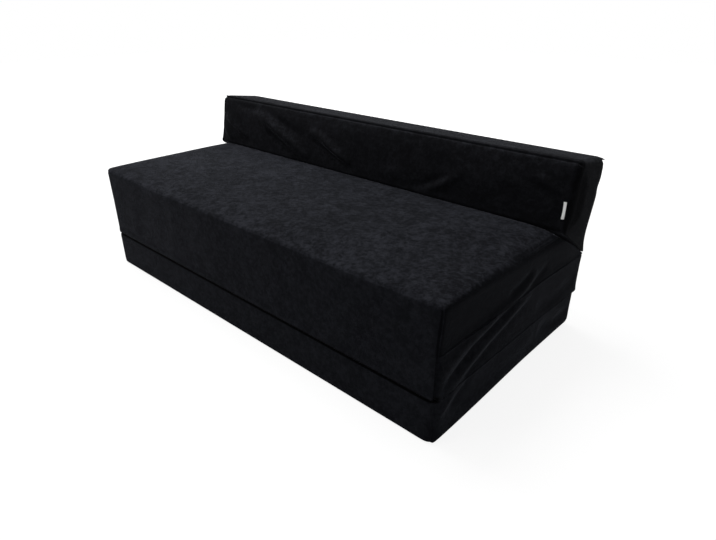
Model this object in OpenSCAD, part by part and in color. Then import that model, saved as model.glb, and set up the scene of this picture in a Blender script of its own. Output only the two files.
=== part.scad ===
// Folding foam chair bed for two people, shown folded up as a low seat with a backrest.
// Three foam pads lie on each other in a zigzag. A fourth pad, joined to the rear edge of
// the seat pad, stands up as the backrest. Each pad is a foam block in a zipped cover.
// X runs along the seat, +Y towards the backrest and Z up.
// The origin lies on the floor, under the middle of the folded bed.

/* [Bed] */
// Length of the seat, from end to end
bed_w = 1200; // [800:10:1600]
// Depth of the folded bed, over its front and rear hinge seams
bed_d = 600; // [560:10:720]
// Height that each folded pad takes in the stack
pad_t = 100; // [90:5:130]
// Free height between two stacked pads
stack_gap = 0.6; // [0.6:0.1:2]
// Depth cut flat under the bottom pad, where it lies on the floor
floor_cut = 0.5; // [0.5:0.1:1]

/* [Backrest] */
// Depth of the seat in front of the backrest
seat_d = 435; // [400:5:460]
// Height of the backrest's front edge above the seat
back_h = 140; // [120:5:180]
// How far the front face of the backrest leans back
back_lean = 40; // [20:5:60]
// Fall of the backrest's top face from its front edge to its rear edge
back_drop = 20; // [10:5:40]
// Height of the backrest's rear lower edge above its hinge axis
back_lift = 1; // [1:0.5:3]
// Height of the backrest's hinge axis above the underside of the seat pad
back_axis_rise = 2; // [2:0.5:4]
// Free width between the seat and the backrest at the top of their mitre
mitre_gap = 0.8; // [0.6:0.1:2]
// Depth by which the seat's thin rear edge stays short of its full depth
tip_back = 6; // [5:1:12]

/* [Covers] */
// Thickness of fabric and wadding between a foam block and the outer face
cover_t = 10; // [9:0.5:12]
// Clearance of a foam block in its cover
foam_gap = 0.4; // [0.3:0.1:1]
// Rise of the seat's crown
seat_crown = 8; // [4:1:12]
// Rise of the crown on the backrest's front face
back_crown = 5; // [2:1:8]
// Rise of the crown on the backrest's top face
top_crown = 2; // [1:0.5:4]
// Depth that the long free sides are drawn in between the corners
side_draw = 4; // [2:1:6]
// Depth that the ends, and the zipped rear face, are drawn in
end_draw = 7; // [6.5:0.5:7]
// Rounding where an end meets the long faces
end_r = 6; // [4:1:8]
// Rounding of a pad's ordinary long edges
edge_r = 8; // [5:1:12]
// Rounding of the long edges beside a hinge seam
hinge_edge_r = 2; // [1.5:0.5:3]
// Rounding of the seat's front top edge
seat_front_r = 22; // [15:1:30]
// Rounding of the backrest's top edges
back_top_r = 14; // [8:1:20]
// Radius of the welt along the backrest's top edges
welt_r = 1.5; // [1:0.25:2.5]

/* [Hinges] */
// Radius of the rolled seam on a hinge axis
seam_r = 1; // [0.8:0.1:1.5]
// Distance of a hinge axis outside the faces of the pads that it joins
hinge_out = 1; // [1:0.1:2]
// Thickness of the fabric panels sewn across the closed sides
panel_t = 0.6; // [0.4:0.1:0.8]
// Height of the strip that joins the backrest to its hinge seam
strip_h = 14; // [10:1:20]
// Clearance between a sewn-on piece and what it lies on
fit_gap = 0.3; // [0.3:0.05:0.5]

/* [Zips] */
// Width of the zip tape
tape_w = 26; // [20:1:32]
// Thickness of the zip tape
tape_t = 0.8; // [0.6:0.1:1]
// Width of the slit in the cover behind the tape
slit_w = 4; // [3:0.5:6]
// Width of the closed coil
coil_w = 5; // [4:0.5:6]
// Height of the closed coil above the tape
coil_h = 1.4; // [1:0.1:1.6]
// Distance from a pad's corners to its end zip
end_zip_margin = 55; // [50:1:80]
// Distance from the seat's mitre, at mid height, to its end zip
seat_zip_margin = 72; // [70:1:90]
// Distance from the backrest's ends to its rear zip
back_zip_margin = 80; // [75:1:120]
// Distance between a slider and the zip's end, at both ends of its travel
slider_park = 34; // [30:1:40]
// Length of a stop at the end of the coil
stop_l = 3; // [2:0.5:4]
// Length of the slider
slider_l = 12; // [10:0.5:14]
// Thickness of the slider's plate
plate_t = 0.8; // [0.6:0.1:1]
// Thickness of the slider's two side walls
wall_t = 1; // [0.8:0.1:1.2]
// Running clearance of the slider on the coil, and of the pull on the slider
run_gap = 0.3; // [0.3:0.05:0.4]
// Length of the bridge that holds the pull
bridge_l = 8; // [7:0.5:9]
// Width of the bridge
bridge_w = 2.2; // [1.8:0.1:2.6]
// Thickness of the bridge
bridge_t = 0.8; // [0.6:0.1:1]
// Radius of the pull's pin
pin_r = 0.6; // [0.5:0.05:0.7]
// Length of the pull, from its pin to its tip
pull_l = 26; // [20:1:28]
// Width of the pull
pull_w = 6; // [5:0.5:7]
// Thickness of the pull
pull_t = 1.2; // [1:0.1:1.2]

/* [Label] */
// Width of the blank sewn-in label
label_w = 18; // [12:1:24]
// Height of the blank label
label_h = 45; // [30:1:50]
// Thickness of the blank label
label_t = 0.6; // [0.4:0.1:1]
// Distance from the label to the backrest's right-hand end
label_edge = 2; // [1:0.5:10]

/* [Hidden] */

fabric_colour = [0.10, 0.10, 0.12];
panel_colour = [0.13, 0.13, 0.15];
foam_colour = [0.92, 0.88, 0.70];
tape_colour = [0.06, 0.06, 0.06];
coil_colour = [0.20, 0.20, 0.22];
metal_colour = [0.30, 0.30, 0.32];
label_colour = [0.95, 0.95, 0.93];

// How far a cut runs past what it cuts
overrun = 1;
// Steps in the rounding of a long edge, and in the rounding of an end
arc_steps = 4;
end_steps = 3;
// Smallest radius left on a corner where the end rounding has used up the edge rounding
least_r = 0.5;

// Heights of the stack and places of the hinge axes
level_1 = pad_t;
level_2 = 2 * pad_t;
level_3 = 3 * pad_t;
half_gap = stack_gap / 2;
axis_y = bed_d / 2 - seam_r;
face_y = axis_y - hinge_out;
back_axis_z = level_2 + back_axis_rise;

// Outlines in Y and Z, counter-clockwise from the front lower corner
seat_rear_y = seat_d - bed_d / 2;
tip_y = face_y - tip_back;
back_foot_y = seat_rear_y + mitre_gap;
base_outline = [[-face_y, -floor_cut], [face_y, -floor_cut],
                [face_y, level_1 - half_gap], [-face_y, level_1 - half_gap]];
middle_outline = [[-face_y, level_1 + half_gap], [face_y, level_1 + half_gap],
                  [face_y, level_2 - half_gap], [-face_y, level_2 - half_gap]];
seat_outline = [[-face_y, level_2 + half_gap], [tip_y, level_2 + half_gap],
                [seat_rear_y, level_3], [-face_y, level_3]];
back_outline = [[back_foot_y, level_3 + half_gap], [face_y, back_axis_z + back_lift],
                [face_y, level_3 + back_h - back_drop], [back_foot_y + back_lean, level_3 + back_h]];

// Places along a side, each with its share of the side's crown or draw
plain_shares = [];
draw_shares = [[0.2, 1], [0.5, 1], [0.8, 1]];
crown_shares = [[0.08, 0.42], [0.2, 0.74], [0.35, 0.94], [0.5, 1], [0.65, 0.94], [0.8, 0.74], [0.92, 0.42]];
// Rings of an end, each with its share of the outline and of the end's draw
end_ring_shares = [[0.86, 1], [0.93, 0.55]];
// Places of the rings between the ends, as shares of half the length
ring_shares = [-0.96, -0.92, -0.88, -0.6, -0.3, 0, 0.3, 0.6, 0.88, 0.92, 0.96];
// Share of half the length over which crown and draw fade out at an end
fade_share = 0.12;
// Height of the backrest's zip and label, as shares of the face that carries them
back_zip_share = 0.35;
label_height_share = 0.42;

// Zip sizes that follow from the ones above
plate_z = tape_t + coil_h + run_gap;
plate_top = plate_z + plate_t;
slider_w = coil_w + 2 * (run_gap + wall_t);
pin_z = plate_top + pull_t / 2 + run_gap;
bridge_z = pin_z + pin_r + run_gap;
arm_in = bridge_w / 2 + run_gap;
eye_l = bridge_l / 2 + run_gap + pull_t;

// Outward normal of the side from point a to point b
function outward(a, b) = [b[1] - a[1], a[0] - b[0]] / norm(b - a);

// The point that lies the depth d inside both sides at a corner
function corner_in(c, n0, n1, d) = c - (n0 + n1) * d / (1 + n0 * n1);

// The corner before corner i, and the corner after it
function before(outline, i) = outline[(i + len(outline) - 1) % len(outline)];
function after(outline, i) = outline[(i + 1) % len(outline)];
function normal_before(outline, i) = outward(before(outline, i), outline[i]);
function normal_after(outline, i) = outward(outline[i], after(outline, i));

// The same outline, moved inwards by d
function inset(outline, d) = [for (i = [0:len(outline) - 1])
    corner_in(outline[i], normal_before(outline, i), normal_after(outline, i), d)];

// The middle of an outline's corners
function middle(outline, i = 0) =
    i == len(outline) ? [0, 0] : outline[i] / len(outline) + middle(outline, i + 1);

// Direction of step k in the rounding of corner i
function arc_dir(outline, i, k) =
    let (n0 = normal_before(outline, i), turn = acos(n0 * normal_after(outline, i)) * k / arc_steps,
         from = atan2(n0[1], n0[0])) [cos(from + turn), sin(from + turn)];

// Step k in the rounding of corner i, on the outline moved inwards by d
function arc_point(outline, radii, i, k, d) =
    let (r = max(radii[i] - d, least_r))
    corner_in(outline[i], normal_before(outline, i), normal_after(outline, i), d + r)
        + r * arc_dir(outline, i, k);

// A place along the side after corner i, moved outwards by its share of the side's swell
function side_point(outline, radii, swell, i, row, amount, d) =
    let (from = arc_point(outline, radii, i, arc_steps, 0),
         to = arc_point(outline, radii, (i + 1) % len(outline), 0, 0))
    from + (to - from) * row[0] + normal_after(outline, i) * (swell[i] * row[1] * amount - d);

// The whole section, with the share amount of its swell, moved inwards by d
function section(outline, radii, swell, tables, amount, d) = [for (i = [0:len(outline) - 1])
    each concat([for (k = [0:arc_steps]) arc_point(outline, radii, i, k, d)],
                [for (row = tables[i]) side_point(outline, radii, swell, i, row, amount, d)])];

function at_x(points, x) = [for (p = points) [x, p[0], p[1]]];
function shrunk(points, centre, share) = [for (p = points) centre + (p - centre) * share];
function fade(share) = sin(90 * min(1, (1 - abs(share)) / fade_share));

// Skin of a padded form: rings from the left-hand end to the right-hand end
module pad_form(outline, radii, swell, tables) {
    half = bed_w / 2;
    centre = middle(outline);
    rim = section(outline, radii, swell, tables, 0, end_r);
    cap = [for (row = end_ring_shares) at_x(shrunk(rim, centre, row[0]), half - end_draw * row[1])];
    bend = [for (k = [0:end_steps - 1]) let (a = 90 * k / end_steps)
        at_x(section(outline, radii, swell, tables, 0, end_r * (1 - sin(a))), half - end_r * (1 - cos(a)))];
    end_rings = concat(cap, bend);
    rings = concat([for (ring = end_rings) [for (p = ring) [-p[0], p[1], p[2]]]],
                   [for (s = ring_shares) at_x(section(outline, radii, swell, tables, fade(s), 0), half * s)],
                   [for (k = [len(end_rings) - 1:-1:0]) end_rings[k]]);
    m = len(rings[0]);
    last = len(rings) - 1;
    hub = half - end_draw;
    points = concat([[-hub, centre[0], centre[1]]], [for (ring = rings) each ring],
                    [[hub, centre[0], centre[1]]]);
    function at(k, i) = 1 + k * m + i % m;
    faces = concat(
        [for (i = [0:m - 1]) [0, at(0, i), at(0, i + 1)]],
        [for (k = [0:last - 1]) for (i = [0:m - 1]) each
            [[at(k, i), at(k + 1, i + 1), at(k, i + 1)], [at(k, i), at(k + 1, i), at(k + 1, i + 1)]]],
        [for (i = [0:m - 1]) [at(last, i), 1 + m * (last + 1), at(last, i + 1)]]);
    polyhedron(points = points, faces = faces);
}

// A straight bar of the given outline along X, as long as the bed less the depth d at each end
module bar(outline, d) {
    rotate([90, 0, 90])
        translate([0, 0, d - bed_w / 2])
            linear_extrude(bed_w - 2 * d) polygon(outline);
}

// The foam block of a pad, and the hollow of its cover
module foam_block(outline) {
    color(foam_colour) bar(inset(outline, cover_t), cover_t);
}
module foam_hollow(outline) {
    bar(inset(outline, cover_t - foam_gap), cover_t - foam_gap);
}

// Sets a zip on the left-hand end: its run goes forwards and its face looks out
module on_left_end(from_y, to_y, z) {
    translate([end_draw - bed_w / 2, (from_y + to_y) / 2, z]) rotate([90, 0, -90]) children();
}

// Sets a zip on the backrest's rear face: its run goes to the left and its face looks back
module on_back_rear() {
    translate([0, face_y - end_draw, back_zip_z]) rotate([90, 0, 180]) children();
}

module slit(length) {
    translate([-length / 2, -slit_w / 2, -cover_t]) cube([length, slit_w, cover_t + overrun]);
}
module zip_tape(length) {
    color(tape_colour) translate([-length / 2, -tape_w / 2, 0]) cube([length, tape_w, tape_t]);
}

// The closed coil with a stop at each end
module zip_coil(length) {
    run = length - 2 * slider_park + slider_l;
    color(coil_colour) {
        translate([-run / 2, -coil_w / 2, tape_t]) cube([run, coil_w, coil_h]);
        for (side = [-1, 1])
            translate([side * (run + stop_l) / 2 - stop_l / 2, -slider_w / 2, tape_t])
                cube([stop_l, slider_w, coil_h]);
    }
}

// The slider, parked at the closed end of its zip
module zip_slider(length) {
    color(metal_colour) translate([slider_park - length / 2, 0, 0]) {
        translate([-slider_l / 2, -slider_w / 2, plate_z]) cube([slider_l, slider_w, plate_t]);
        for (side = [-1, 1])
            translate([-slider_l / 2, side * (slider_w - wall_t) / 2 - wall_t / 2, tape_t + run_gap])
                cube([slider_l, wall_t, plate_z - tape_t - run_gap]);
        for (side = [-1, 1])
            translate([side * (bridge_l - bridge_t) / 2 - bridge_t / 2, -bridge_w / 2, plate_top])
                cube([bridge_t, bridge_w, bridge_z - plate_top]);
        translate([-bridge_l / 2, -bridge_w / 2, bridge_z]) cube([bridge_l, bridge_w, bridge_t]);
    }
}

// The pull, laid flat over the coil, with its pin under the slider's bridge
module zip_pull(length) {
    color(metal_colour) translate([slider_park - length / 2, 0, pin_z]) {
        rotate([90, 0, 0]) cylinder(h = pull_w, r = pin_r, center = true, $fn = 24);
        difference() {
            translate([0, -pull_w / 2, -pull_t / 2]) cube([pull_l, pull_w, pull_t]);
            translate([-overrun, -arm_in, -pull_t]) cube([eye_l + overrun, 2 * arm_in, 2 * pull_t]);
        }
    }
}

// The lengths of the zips and the places where they are sewn on
seat_mid_y = (tip_y + seat_rear_y) / 2;
pad_zip = face_y - end_zip_margin;
long_zip = 2 * pad_zip;
seat_zip_end = seat_mid_y - seat_zip_margin;
seat_zip = pad_zip + seat_zip_end;
back_zip = bed_w - 2 * back_zip_margin;
base_zip_z = (level_1 - half_gap) / 2;
middle_zip_z = (level_1 + level_2) / 2;
seat_zip_z = (level_2 + half_gap + level_3) / 2;
back_low_z = back_axis_z + back_lift;
back_zip_z = back_low_z + (level_3 + back_h - back_drop - back_low_z) * back_zip_share;

module on_base() { on_left_end(-pad_zip, pad_zip, base_zip_z) children(); }
module on_middle() { on_left_end(-pad_zip, pad_zip, middle_zip_z) children(); }
module on_seat() { on_left_end(-pad_zip, seat_zip_end, seat_zip_z) children(); }

// Bottom pad
module base_foam() {
    foam_block(base_outline);
}
module base_cover() {
    color(fabric_colour) difference() {
        pad_form(base_outline, [edge_r, edge_r, hinge_edge_r, edge_r], [0, -side_draw, 0, -side_draw],
                 [plain_shares, draw_shares, plain_shares, draw_shares]);
        foam_hollow(base_outline);
        on_base() slit(long_zip);
        translate([-bed_w, -bed_d, -pad_t]) cube([2 * bed_w, 2 * bed_d, pad_t]);
    }
}
module base_zip_tape() { on_base() zip_tape(long_zip); }
module base_zip_coil() { on_base() zip_coil(long_zip); }
module base_zip_slider() { on_base() zip_slider(long_zip); }
module base_zip_pull() { on_base() zip_pull(long_zip); }

// Middle pad, with its front and rear faces flat behind the sewn panels
module middle_foam() {
    foam_block(middle_outline);
}
module middle_cover() {
    color(fabric_colour) difference() {
        pad_form(middle_outline, [edge_r, hinge_edge_r, edge_r, hinge_edge_r], [0, 0, 0, 0],
                 [plain_shares, plain_shares, plain_shares, plain_shares]);
        foam_hollow(middle_outline);
        on_middle() slit(long_zip);
    }
}
module middle_zip_tape() { on_middle() zip_tape(long_zip); }
module middle_zip_coil() { on_middle() zip_coil(long_zip); }
module middle_zip_slider() { on_middle() zip_slider(long_zip); }
module middle_zip_pull() { on_middle() zip_pull(long_zip); }

// Seat pad, mitred under the backrest
module seat_foam() {
    foam_block(seat_outline);
}
module seat_cover() {
    color(fabric_colour) difference() {
        pad_form(seat_outline, [hinge_edge_r, hinge_edge_r, edge_r, seat_front_r],
                 [0, 0, seat_crown, -side_draw],
                 [plain_shares, plain_shares, crown_shares, draw_shares]);
        foam_hollow(seat_outline);
        on_seat() slit(seat_zip);
    }
}
module seat_zip_tape() { on_seat() zip_tape(seat_zip); }
module seat_zip_coil() { on_seat() zip_coil(seat_zip); }
module seat_zip_slider() { on_seat() zip_slider(seat_zip); }
module seat_zip_pull() { on_seat() zip_pull(seat_zip); }

// Backrest, standing on the seat's mitre
back_radii = [edge_r, hinge_edge_r, back_top_r, back_top_r];
module backrest_foam() {
    foam_block(back_outline);
}
module backrest_cover() {
    color(fabric_colour) difference() {
        pad_form(back_outline, back_radii, [0, -end_draw, top_crown, back_crown],
                 [plain_shares, draw_shares, crown_shares, crown_shares]);
        foam_hollow(back_outline);
        on_back_rear() slit(back_zip);
    }
}
module backrest_zip_tape() { on_back_rear() zip_tape(back_zip); }
module backrest_zip_coil() { on_back_rear() zip_coil(back_zip); }
module backrest_zip_slider() { on_back_rear() zip_slider(back_zip); }
module backrest_zip_pull() { on_back_rear() zip_pull(back_zip); }

// A round rod along X, short of the rounded ends
module rod(y, z, r) {
    translate([0, y, z]) rotate([0, 90, 0])
        cylinder(h = bed_w - 2 * end_r, r = r, center = true, $fn = 32);
}

// A flat sheet along X, short of the rounded ends
module sheet(y, z, t, h) {
    translate([end_r - bed_w / 2, y, z]) cube([bed_w - 2 * end_r, t, h]);
}

// Fabric panels across the middle pad's front and rear faces, each up to its hinge seam
module front_hinge_panel() {
    low = level_1 + half_gap + edge_r;
    color(panel_colour) sheet(-face_y - panel_t, low, panel_t, level_2 - seam_r - fit_gap - low);
}
module rear_hinge_panel() {
    low = level_1 + seam_r + fit_gap;
    color(panel_colour) sheet(face_y, low, panel_t, level_2 - half_gap - edge_r - low);
}
module front_hinge_seam() { color(panel_colour) rod(-axis_y, level_2, seam_r); }
module rear_hinge_seam() { color(panel_colour) rod(axis_y, level_1, seam_r); }

// The backrest's hinge seam, with the strip that is sewn to its rear face
module backrest_hinge_strip() {
    color(panel_colour) {
        rod(axis_y, back_axis_z, seam_r);
        sheet(face_y + fit_gap, back_axis_z, panel_t, strip_h);
    }
}

// Welts along the backrest's two top edges
module top_welt(i) {
    dir = arc_dir(back_outline, i, arc_steps / 2);
    spot = arc_point(back_outline, back_radii, i, arc_steps / 2, 0) + dir * (welt_r + fit_gap);
    rod(spot[0], spot[1], welt_r);
}
module backrest_top_welts() {
    color(panel_colour) for (i = [2, 3]) top_welt(i);
}

// The blank label, flat on the backrest's front face beside its right-hand end
module blank_label() {
    foot = back_outline[0];
    head = back_outline[3];
    face = outward(head, foot);
    inner_x = bed_w / 2 - label_edge - end_r - label_w;
    off = back_crown * fade(2 * inner_x / bed_w) + fit_gap;
    spot = foot + (head - foot) * label_height_share + face * off;
    color(label_colour)
        translate([inner_x, spot[0], spot[1]])
            rotate([-atan2(head[0] - foot[0], head[1] - foot[1]), 0, 0])
                translate([0, -label_t, -label_h / 2]) cube([label_w, label_t, label_h]);
}

base_foam();
base_cover();
base_zip_tape();
base_zip_coil();
base_zip_slider();
base_zip_pull();
middle_foam();
middle_cover();
middle_zip_tape();
middle_zip_coil();
middle_zip_slider();
middle_zip_pull();
seat_foam();
seat_cover();
seat_zip_tape();
seat_zip_coil();
seat_zip_slider();
seat_zip_pull();
backrest_foam();
backrest_cover();
backrest_zip_tape();
backrest_zip_coil();
backrest_zip_slider();
backrest_zip_pull();
front_hinge_panel();
rear_hinge_panel();
front_hinge_seam();
rear_hinge_seam();
backrest_hinge_strip();
backrest_top_welts();
blank_label();
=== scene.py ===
import math

import bmesh
import bpy
import numpy as np
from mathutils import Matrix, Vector, noise
from mathutils.kdtree import KDTree


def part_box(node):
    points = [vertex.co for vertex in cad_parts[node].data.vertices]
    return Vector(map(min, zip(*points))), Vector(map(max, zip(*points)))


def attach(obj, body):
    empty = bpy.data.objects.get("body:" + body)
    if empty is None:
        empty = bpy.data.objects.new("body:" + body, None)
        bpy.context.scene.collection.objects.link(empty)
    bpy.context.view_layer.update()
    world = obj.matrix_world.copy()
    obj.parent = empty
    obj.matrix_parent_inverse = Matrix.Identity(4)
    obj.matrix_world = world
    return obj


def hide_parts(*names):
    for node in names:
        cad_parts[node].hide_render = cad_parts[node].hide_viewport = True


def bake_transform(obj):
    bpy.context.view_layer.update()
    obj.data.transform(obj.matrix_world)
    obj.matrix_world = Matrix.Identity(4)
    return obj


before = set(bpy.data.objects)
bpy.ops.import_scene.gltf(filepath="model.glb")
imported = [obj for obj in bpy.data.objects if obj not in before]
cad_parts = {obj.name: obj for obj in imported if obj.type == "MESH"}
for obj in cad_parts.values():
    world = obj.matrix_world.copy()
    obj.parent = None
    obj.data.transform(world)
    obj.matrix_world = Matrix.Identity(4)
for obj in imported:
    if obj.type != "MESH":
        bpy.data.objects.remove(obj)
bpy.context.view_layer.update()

# Lengths in metres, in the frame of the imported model
HALF_LENGTH = 0.6
FRONT_Y = -0.2985
REAR_Y = 0.298
PANEL_THICKNESS = 0.004
OPEN_FOLD_Z = 0.1
FRONT_HINGE_Z = 0.2
MIDDLE_FRONT_Y = FRONT_Y + PANEL_THICKNESS + 0.0002
MIDDLE_REAR_Y = REAR_Y - PANEL_THICKNESS - 0.0002
STACK_CLEARANCE = 0.0003
FOAM_END = 0.590
PADS = ("base", "middle", "seat", "backrest")


def drop_selection():
    if bpy.context.mode != "OBJECT":
        bpy.ops.object.mode_set(mode="OBJECT")
    bpy.ops.object.select_all(action="DESELECT")


def take(piece):
    """Makes a piece the only selected and the active one."""
    drop_selection()
    piece.select_set(True)
    bpy.context.view_layer.objects.active = piece


def open_mesh(piece):
    take(piece)
    bpy.ops.object.mode_set(mode="EDIT")


def close_mesh():
    bpy.ops.object.mode_set(mode="OBJECT")


def pick(piece, kind, wanted):
    """In edit mode, selects the faces (kind FACE) or edges (kind EDGE) for which wanted says yes. It is asked
    with a face's middle and normal, or with an edge's middle and direction."""
    mesh = bmesh.from_edit_mesh(piece.data)
    for element in [*mesh.verts, *mesh.edges, *mesh.faces]:
        element.select = False
    if kind == "FACE":
        chosen = [f for f in mesh.faces if wanted(f.calc_center_median(), f.normal)]
    else:
        ends = [(e, *(v.co for v in e.verts)) for e in mesh.edges]
        chosen = [e for e, a, b in ends if wanted((a + b) / 2, (b - a).normalized())]
    bpy.ops.mesh.select_mode(type=kind)
    for element in chosen:
        element.select_set(True)
    mesh.select_flush_mode()
    bmesh.update_edit_mesh(piece.data)


def read_points(piece, what):
    values = np.empty(len(piece.data.vertices) * 3)
    piece.data.vertices.foreach_get(what, values)
    return values.reshape(-1, 3)


def points_of(piece):
    return read_points(piece, "co")


def normals_of(piece):
    return read_points(piece, "normal")


def set_points(piece, co):
    piece.data.vertices.foreach_set("co", np.ascontiguousarray(co, dtype=np.float32).ravel())
    piece.data.update()


def settle():
    """Applies the active piece's place, turn and scale."""
    bpy.ops.object.transform_apply(location=True, rotation=True, scale=True)


def add_box(middle, size):
    drop_selection()
    bpy.ops.mesh.primitive_cube_add(size=1, location=middle, scale=size)
    settle()
    return bpy.context.object


def rename(piece, name):
    piece.name = piece.data.name = name


def shade_smooth(piece):
    take(piece)
    bpy.ops.object.shade_smooth()


def shade_by_angle(piece, degrees):
    take(piece)
    bpy.ops.object.shade_smooth_by_angle(angle=math.radians(degrees))


def apply_modifier(piece, kind, **settings):
    take(piece)
    modifier = piece.modifiers.new(kind.title(), kind)
    for key, value in settings.items():
        setattr(modifier, key, value)
    bpy.ops.object.modifier_apply(modifier=modifier.name)


def bevel(piece, width, segments=1):
    apply_modifier(piece, "BEVEL", width=width, segments=segments)


def smooth_step(t):
    t = np.clip(t, 0, 1)
    return t * t * (3 - 2 * t)


def hump(t):
    """1 in the middle of the range from 0 to 1, and 0 at both its ends."""
    return np.sin(np.pi * np.clip(t, 0, 1))


# Grid blocks that the pads are made from

def cut_along(piece, axis, cuts, most=60):
    """Subdivides all the edges that run along one axis, with so many cuts at most in one step."""
    while cuts > 0:
        pick(piece, "EDGE", lambda middle, way: abs(way[axis]) > 0.99)
        step = min(cuts, most)
        bpy.ops.mesh.subdivide(number_cuts=step)
        cuts = (cuts - step) // (step + 1)


def grid_block(name, low, high, lines):
    """A box at its place, cut into a grid along the three axes. lines gives each axis its grid places."""
    low, high = Vector(low), Vector(high)
    piece = add_box((low + high) / 2, high - low)
    rename(piece, name)
    open_mesh(piece)
    for axis in range(3):
        cut_along(piece, axis, len(lines[axis]) - 2)
    close_mesh()
    co = points_of(piece)
    for axis in range(3):
        even = np.linspace(low[axis], high[axis], len(lines[axis]))
        co[:, axis] = np.interp(co[:, axis], even, lines[axis])
    set_points(piece, co)
    return piece


def grid_places(low, high, count, from_edge):
    """Grid places along an axis: set distances from both ends, and even steps between them."""
    first, last = low + np.array(from_edge), high - np.array(from_edge)[::-1]
    between = np.linspace(first[-1], last[0], count - 2 * len(from_edge) + 2)[1:-1]
    return np.concatenate([first, between, last])


# Distances of the grid lines from an edge, closest where the fabric rounds it
END_LINES = [0, 0.0006, 0.002, 0.0045, 0.0075, 0.0115, 0.017, 0.024]
EDGE_LINES = [0, 0.002, 0.004, 0.0075, 0.0115, 0.017, 0.024]
SIDE_LINES = [0, 0.002, 0.0045, 0.0085, 0.0135, 0.02]


def rounded(rim, low, high, radii):
    """Moves points on a rectangle's rim onto the rim with rounded corners. radii has the four corners'
    radii: front low, rear low, rear high, front high."""
    out = rim.copy()
    for r, a, b in zip(radii, (0, 1, 1, 0), (0, 0, 1, 1)):
        corner = np.array([(low, high)[a][0], (low, high)[b][1]])
        centre = corner + np.reshape(r, (-1, 1)) * np.array([1 - 2 * a, 1 - 2 * b])
        away = (out - centre) * np.array([2 * a - 1, 2 * b - 1])
        near = (away[:, 0] > -1e-9) & (away[:, 1] > -1e-9)
        reach = np.linalg.norm(away, axis=1)
        scale = np.where(near & (reach > 1e-9), r / np.maximum(reach, 1e-9), 1)
        out = np.where(near[:, None], centre + (out - centre) * scale[:, None], out)
    return out


def round_block(co, low, high, radii, end_radius, tight=()):
    """Rounds a grid block's long edges and its ends. tight names the sides, as (axis, way, end), where an end
    stays nearly square, because the pad meets the next one there."""
    low2, high2 = np.array(low[1:]), np.array(high[1:])
    centre, half = (low2 + high2) / 2, (high2 - low2) / 2
    flat = co[:, 1:] - centre
    share = np.maximum(np.max(np.abs(flat) / half, axis=1), 1e-9)
    rim = rounded(centre + flat / share[:, None], low2, high2, radii)
    from_end = high[0] - np.abs(co[:, 0])
    toward = np.zeros(len(co))
    for axis, way, end in tight:
        close = np.clip((rim[:, axis - 1] - centre[axis - 1]) / half[axis - 1] * way, 0, 1) ** 6
        toward = np.maximum(toward, close * (co[:, 0] * end > 0))
    end_radius = end_radius * (1 - 0.93 * toward)
    bend = np.clip(end_radius - from_end, 0, end_radius)
    inset = end_radius - np.sqrt(np.maximum(end_radius ** 2 - bend ** 2, 0))
    out = co.copy()
    out[:, 1:] = centre + (rim - centre) * share[:, None] * (1 - inset[:, None] / half)
    return out


def to_outline(co, low, high, outline):
    """Moves a block's section onto four corners: front low, rear low, rear high, front high."""
    u = ((co[:, 1] - low[1]) / (high[1] - low[1]))[:, None]
    w = ((co[:, 2] - low[2]) / (high[2] - low[2]))[:, None]
    fl, rl, rh, fh = (np.array(p) for p in outline)
    out = co.copy()
    out[:, 1:] = (1 - w) * ((1 - u) * fl + u * rl) + w * ((1 - u) * fh + u * rh)
    return out


def round_corner(co, axes, corner, way, radius):
    """Rounds one edge of a pad, seen along the third axis. way points from the pad to the edge, and the
    radius may change along it."""
    centre = np.array(corner) - np.reshape(radius, (-1, 1)) * np.array(way)
    beyond = (co[:, axes] - centre) * way
    near = (beyond > 0).all(axis=1)
    scale = beyond.max(axis=1) / np.maximum(np.linalg.norm(beyond, axis=1), 1e-9)
    moved = centre + beyond * scale[:, None] * way
    out = co.copy()
    for i, axis in enumerate(axes):
        out[near, axis] = moved[near, i]
    return out


def search_tree(points):
    tree = KDTree(len(points))
    for i, point in enumerate(points):
        tree.insert(point, i)
    tree.balance()
    return tree


CLOTH_STEPS = 20


def swell(piece, cap, voxel=0.0095, growth=0.02):
    """Lets a copy of the pad swell as cloth under a little pressure, and moves the pad's points the same way.
    No point moves further than the cap."""
    take(piece)
    bpy.ops.object.duplicate()
    copy = bpy.context.object
    apply_modifier(copy, "REMESH", mode="VOXEL", voxel_size=voxel)
    before = points_of(copy)
    cloth = copy.modifiers.new("Cloth", "CLOTH")
    cloth.settings.use_pressure = True
    cloth.settings.uniform_pressure_force = 4
    cloth.settings.effector_weights.gravity = 0
    cloth.settings.shrink_min = -growth
    cloth.settings.bending_stiffness = 1.5
    cloth.point_cache.frame_end = CLOTH_STEPS
    for moment in range(1, CLOTH_STEPS + 1):
        bpy.context.scene.frame_set(moment)
    take(copy)
    bpy.ops.object.modifier_apply(modifier=cloth.name)
    moved = points_of(copy) - before
    bpy.context.scene.frame_set(1)
    length = np.linalg.norm(moved, axis=1, keepdims=True)
    moved *= np.minimum(1, cap / np.maximum(length, 1e-9))
    tree = search_tree(before)
    out = np.zeros((len(piece.data.vertices), 3))
    for i, vertex in enumerate(piece.data.vertices):
        near = tree.find_n(vertex.co, 4)
        weights = np.array([1 / (d + 0.002) for _, _, d in near])
        out[i] = (moved[[k for _, k, _ in near]] * weights[:, None]).sum(0) / weights.sum()
    bpy.data.objects.remove(copy)
    return out


def face_share(normals, direction):
    return np.clip(normals @ np.array(direction), 0, 1) ** 2


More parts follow.
